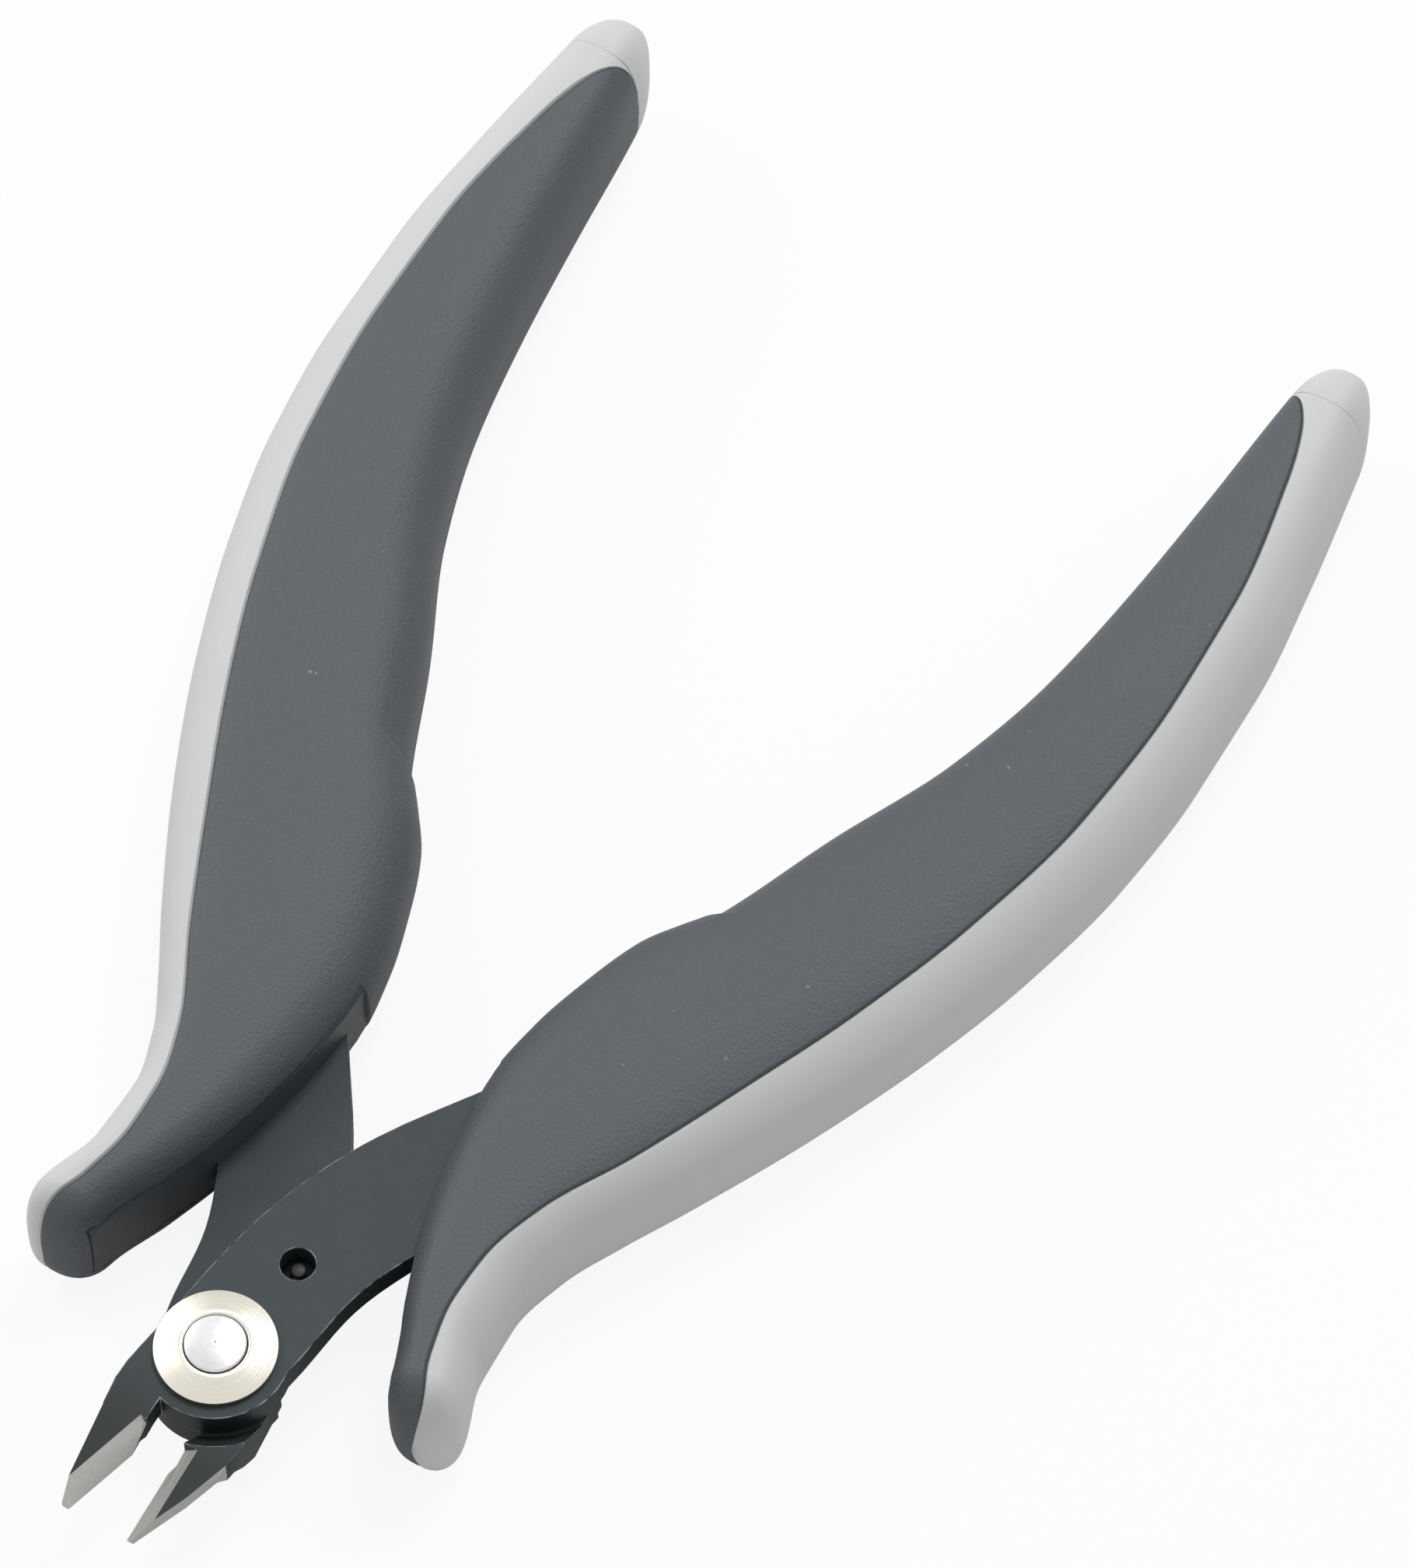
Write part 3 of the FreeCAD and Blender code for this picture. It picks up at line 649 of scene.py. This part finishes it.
class BuildPivot(bpy.types.Operator):
    """Rivet with domed faces, and a turned conical collar at each side."""
    bl_idname = "cutter.build_pivot"
    bl_label = "Build pivot"

    def execute(self, context):
        steel = context.scene.cutter_steel
        turned = turned_metal("Turned nickel", steel.nickel, pitch=0.14, depth=0.014, rough=0.26,
                              drawn=0.6)
        satin = turned_metal("Satin nickel", "#D9D9DB", pitch=0.5, depth=0.004, rough=0.3, drawn=0.0)
        for name, cad, way in (("Collar_Front", "front_collar", 1), ("Collar_Back", "back_collar", -1)):
            low, high = [(v[2] - PIVOT.z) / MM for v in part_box(cad)]
            seat, top = (low, high) if way > 0 else (high, low)
            corners = [(COLLAR_BORE, seat), (COLLAR_R, seat), (COLLAR_R, seat + way * COLLAR_RIM),
                       (LAND_OUTER, top), (LAND_INNER, top), (COLLAR_BORE, top - way * RIM_BREAK)]
            collar = lathe(name, rounded(corners, 0.07))
            put_on(collar, turned)
            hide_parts(cad)
            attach(collar, REAR)
        low, high = [(v[2] - PIVOT.z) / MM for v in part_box("pivot_rivet")]
        bevel_r, side_r = RIVET_R - 0.03, RIVET_R - 0.005
        side_high, side_low = high - RIVET_DOME, low + RIVET_DOME
        profile = self.rivet_face(high, 1)
        profile += [(bevel_r, side_high - 0.05), (side_r, side_high - RIM_BREAK),
                    (side_r, side_low + RIM_BREAK), (bevel_r, side_low + 0.05)]
        profile += self.rivet_face(low, -1)[::-1]
        rivet = lathe("Rivet", profile)
        put_on(rivet, satin)
        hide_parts("pivot_rivet")
        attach(rivet, REAR)
        return {"FINISHED"}

    def rivet_face(self, end, way):
        """Domed face from the middle out, as (radius, height): height falls by dome * t^2."""
        out = np.linspace(0.02, 1, 24)
        return [(RIVET_R * 0.955 * t, end - way * RIVET_DOME * t ** 2) for t in out]


class BuildSpring(bpy.types.Operator):
    """Return spring: one wire from the hole in one arm round the rivet to the other arm."""
    bl_idname = "cutter.build_spring"
    bl_label = "Build return spring"

    def execute(self, context):
        spring = swept_wire("Return_Spring", self.path(), WIRE_R)
        put_on(spring, oxide_steel("Oiled spring wire", "#303234"))
        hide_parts("return_spring")
        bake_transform(spring)
        return {"FINISHED"}

    def path(self):
        """Middle of the wire in millimetres from the pivot, from one hole to the other.

        It comes down the hole, turns a quarter circle, and runs straight to where it touches the
        loop. The loop crosses from one arm to the other by level * cos(pi * t).
        """
        level = LAP_HALF + WIRE_R
        top = np.array(SPRING_HOLE)
        out = math.atan2(top[1], top[0]) - math.acos(LOOP_R / math.hypot(*top))
        foot = np.array((LOOP_R * math.cos(out), LOOP_R * math.sin(out)))
        bend = (foot - top) / np.linalg.norm(foot - top) * BEND_R
        rise = np.array([[*top, h] for h in np.linspace(WIRE_TOP, level + BEND_R, 4)])
        knee = np.array([[*(top + bend * (1 - math.cos(t))), level + BEND_R * (1 - math.sin(t))]
                         for t in np.linspace(0, math.pi / 2, 7)[1:]])
        leg = np.array([[*(top + bend + (foot - top - bend) * k), level]
                        for k in np.linspace(0.1, 1, 10)])
        t = np.linspace(0, 1, 50)[1:-1]
        angle = out - t * (math.pi + 2 * out)
        ring = np.stack([LOOP_R * np.cos(angle), LOOP_R * np.sin(angle),
                         level * np.cos(math.pi * t)], -1)
        right = np.concatenate([rise, knee, leg])
        return np.concatenate([right, ring, right[::-1] * (-1, 1, -1)])


class BuildGrips(bpy.types.Operator):
    """Skin, spine and core of both grips."""
    bl_idname = "cutter.build_grips"
    bl_label = "Build grips"

    def execute(self, context):
        grips = context.scene.cutter_grips
        skin = moulded("Grained elastomer skin", grips.skin, grain=0.26, grain_depth=0.085, rough=0.5,
                       gloss=0.45, speck="#7E8387", speck_level=0.8, mottling=0.05)
        spine = moulded("Satin elastomer spine", grips.spine, grain=0.35, grain_depth=0.008, rough=0.6,
                        gloss=0.35, speck="#A8AAA9", speck_level=0.86, mottling=0.008)
        core = moulded("Hard nylon core", grips.core, grain=0.5, grain_depth=0.006, rough=0.42,
                       gloss=0.4, speck="#50555A", speck_level=0.84, mottling=0.05)
        for label, side, body in (("Right", 1, FRONT), ("Left", -1, REAR)):
            for part, made in (("skin", skin), ("spine", spine)):
                piece = grip_piece("Grip_%s_%s" % (label, part), grips, side, part)
                put_on(piece, made)
                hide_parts("%s_grip_%s" % (label.lower(), part))
                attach(piece, body)
            put_on(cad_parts["%s_grip_core" % label.lower()], core)
        return {"FINISHED"}


class BuildStage(bpy.types.Operator):
    """White bench top, even room light, two soft lights and the camera."""
    bl_idname = "cutter.build_stage"
    bl_label = "Build stage"

    def execute(self, context):
        stage = context.scene.cutter_stage
        scene = context.scene
        scene.view_settings.view_transform = "Standard"
        self.camera(scene, stage)
        self.floor()
        self.world(scene, stage)
        self.lamp("Key_Light", (-0.58, 0.15, 0.42), 0.4, 1.75 * stage.key)
        self.lamp("Sheen_Light", (0.02, 0.4, 0.6), 0.24, 1.9 * stage.key)
        return {"FINISHED"}

    def camera(self, scene, stage):
        """Camera from its place and the directions of its right, down and forward axes."""
        right = Vector((0.86362, 0.50412, -0.00512))
        down = Vector((0.43815, -0.75554, -0.48702))
        ahead = Vector((-0.24939, 0.41836, -0.87337))
        made = bpy.data.objects.new("Camera", bpy.data.cameras.new("Camera"))
        scene.collection.objects.link(made)
        turn = Matrix((right, -down, -ahead)).transposed().to_4x4()
        made.matrix_world = Matrix.Translation(PIVOT + Vector(stage.eye)) @ turn
        made.data.lens = stage.lens
        made.data.sensor_width = 36
        made.data.clip_start, made.data.clip_end = 0.01, 20
        scene.camera = made

    def floor(self):
        """Pale bench top just under the tool; most of what the camera sees of it is plain white."""
        mesh = bpy.data.meshes.new("Bench_Top")
        z = CAD_BOX[0][2] - 0.02 * MM
        mesh.from_pydata([(-4, -4, z), (4, -4, z), (4, 4, z), (-4, 4, z)], [], [(0, 1, 2, 3)])
        bench = bpy.data.objects.new("Bench_Top", mesh)
        bpy.context.scene.collection.objects.link(bench)
        made, tree = material("White bench top")
        ray = node(tree, "ShaderNodeLightPath")
        seen = node(tree, "ShaderNodeMath", {"operation": "MULTIPLY", 1: 0.9},
                    {0: ray.outputs["Is Camera Ray"]})
        diffuse = node(tree, "ShaderNodeBsdfDiffuse", {"Color": (0.86, 0.86, 0.86, 1)})
        glow = node(tree, "ShaderNodeEmission", {"Color": (1, 1, 1, 1), "Strength": 1.0})
        mix = node(tree, "ShaderNodeMixShader", {}, {0: seen.outputs[0], 1: diffuse.outputs[0],
                                                     2: glow.outputs[0]})
        node(tree, "ShaderNodeOutputMaterial", {}, {"Surface": mix.outputs[0]})
        put_on(bench, made)

    def world(self, scene, stage):
        """Even room light, seen as plain white by the camera and in reflections."""
        world = bpy.data.worlds.new("Room")
        world.use_nodes = True
        scene.world = world
        tree = world.node_tree
        tree.nodes.clear()
        ray = node(tree, "ShaderNodeLightPath")
        seen = node(tree, "ShaderNodeMath", {"operation": "MAXIMUM"},
                    {0: ray.outputs["Is Camera Ray"], 1: ray.outputs["Is Glossy Ray"]})
        room = node(tree, "ShaderNodeBackground", {"Color": (1, 1, 1, 1), "Strength": stage.fill})
        white = node(tree, "ShaderNodeBackground", {"Color": (1, 1, 1, 1), "Strength": 1.0})
        mix = node(tree, "ShaderNodeMixShader", {}, {0: seen.outputs[0], 1: room.outputs[0],
                                                     2: white.outputs[0]})
        node(tree, "ShaderNodeOutputWorld", {}, {"Surface": mix.outputs[0]})

    def lamp(self, name, place, size, power):
        """Square soft light at a place from the pivot, aimed at the middle of the grips."""
        light = bpy.data.lights.new(name, "AREA")
        light.shape = "SQUARE"
        light.size = size
        light.energy = power
        made = bpy.data.objects.new(name, light)
        bpy.context.scene.collection.objects.link(made)
        here = PIVOT + Vector(place)
        made.location = here
        aim = PIVOT + Vector((0, 0.05, 0)) - here
        made.rotation_euler = aim.to_track_quat("-Z", "Y").to_euler()


class CutterPanel(bpy.types.Panel):
    bl_idname = "VIEW3D_PT_flush_cutter"
    bl_label = "Flush cutter"
    bl_space_type = "VIEW_3D"
    bl_region_type = "UI"
    bl_category = "Flush Cutter"

    def draw(self, context):
        for group in (context.scene.cutter_grips, context.scene.cutter_steel,
                      context.scene.cutter_stage):
            for key in group.__annotations__:
                self.layout.prop(group, key)
        for operator in OPERATORS:
            self.layout.operator(operator.bl_idname)


SETTINGS = {"cutter_grips": CutterGripSettings, "cutter_steel": CutterSteelSettings,
            "cutter_stage": CutterStageSettings}
OPERATORS = (BuildArms, BuildPivot, BuildSpring, BuildGrips, BuildStage)


def register():
    for made in (*SETTINGS.values(), *OPERATORS, CutterPanel):
        bpy.utils.register_class(made)
    for name, group in SETTINGS.items():
        setattr(bpy.types.Scene, name, PointerProperty(type=group))


def unregister():
    for name in SETTINGS:
        delattr(bpy.types.Scene, name)
    for made in (CutterPanel, *OPERATORS[::-1], *list(SETTINGS.values())[::-1]):
        bpy.utils.unregister_class(made)


def main():
    register()
    bpy.ops.cutter.build_arms()
    bpy.ops.cutter.build_pivot()
    bpy.ops.cutter.build_spring()
    bpy.ops.cutter.build_grips()
    bpy.ops.cutter.build_stage()


if __name__ == "__main__":
    main()
